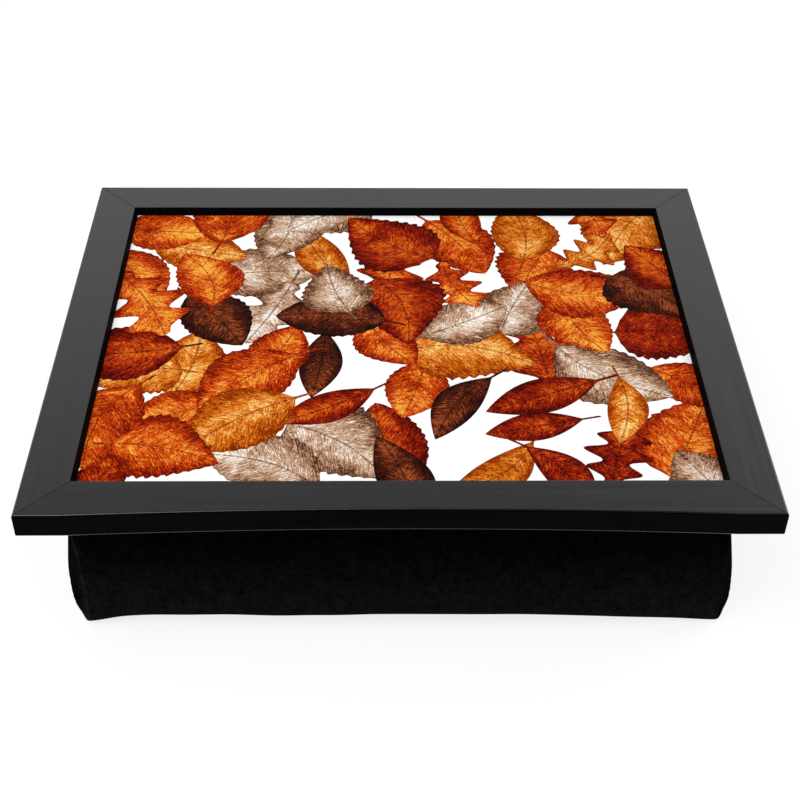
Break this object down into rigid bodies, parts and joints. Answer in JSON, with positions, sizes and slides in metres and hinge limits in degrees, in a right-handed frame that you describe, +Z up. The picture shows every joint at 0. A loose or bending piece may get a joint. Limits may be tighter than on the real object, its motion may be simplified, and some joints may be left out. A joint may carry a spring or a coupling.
{
  "type": "lap tray",
  "caption": "Framed lap tray: a mitred black frame, its front edge slightly hollowed, around a flat printed surface, held by hook-and-loop tape on a bead-filled black fabric cushion that lifts off.",
  "frame": {"origin": "on the surface the tray stands on, under the middle of the frame, at the bottom of the bag", "axes": "+X along the tray's long side to the right of the person using it, +Y away from that person, +Z up"},
  "size_m": [0.43, 0.34, 0.1154],
  "materials": {
    "frame_black": "satin black foil over a wood core",
    "steel": "bright stamped steel",
    "board": "raw hardboard",
    "print": "printed laminate with a fine linen texture",
    "tape": "woven nylon hook or loop tape",
    "bag_fabric": "matt black brushed microfibre",
    "beads": "loose white polystyrene beads"
  },
  "bodies": {
    "cushion": {"bag_wrap_panel": "bag_fabric", "bag_left_end": "bag_fabric", "bag_right_end": "bag_fabric", "bag_top_panel": "bag_fabric", "bead_filling": "beads", "front_loop_tape": "tape", "rear_loop_tape": "tape", "left_loop_tape": "tape", "right_loop_tape": "tape"},
    "tray": {"front_rail": "frame_black", "rear_rail": "frame_black", "left_rail": "frame_black", "right_rail": "frame_black", "front_left_v_nail_1": "steel", "front_left_v_nail_2": "steel", "front_right_v_nail_1": "steel", "front_right_v_nail_2": "steel", "rear_left_v_nail_1": "steel", "rear_left_v_nail_2": "steel", "rear_right_v_nail_1": "steel", "rear_right_v_nail_2": "steel", "front_point_1": "steel", "front_point_2": "steel", "front_point_3": "steel", "rear_point_1": "steel", "rear_point_2": "steel", "rear_point_3": "steel", "left_point_1": "steel", "left_point_2": "steel", "right_point_1": "steel", "right_point_2": "steel", "tray_board": "board", "printed_sheet": "print", "front_hook_tape": "tape", "rear_hook_tape": "tape", "left_hook_tape": "tape", "right_hook_tape": "tape"}
  },
  "joints": [
    {"name": "tray_lift_off", "type": "slide", "parent": "cushion", "child": "tray", "axis": [0, 0, 1], "range_m": [0, 0.12]}
  ]
}
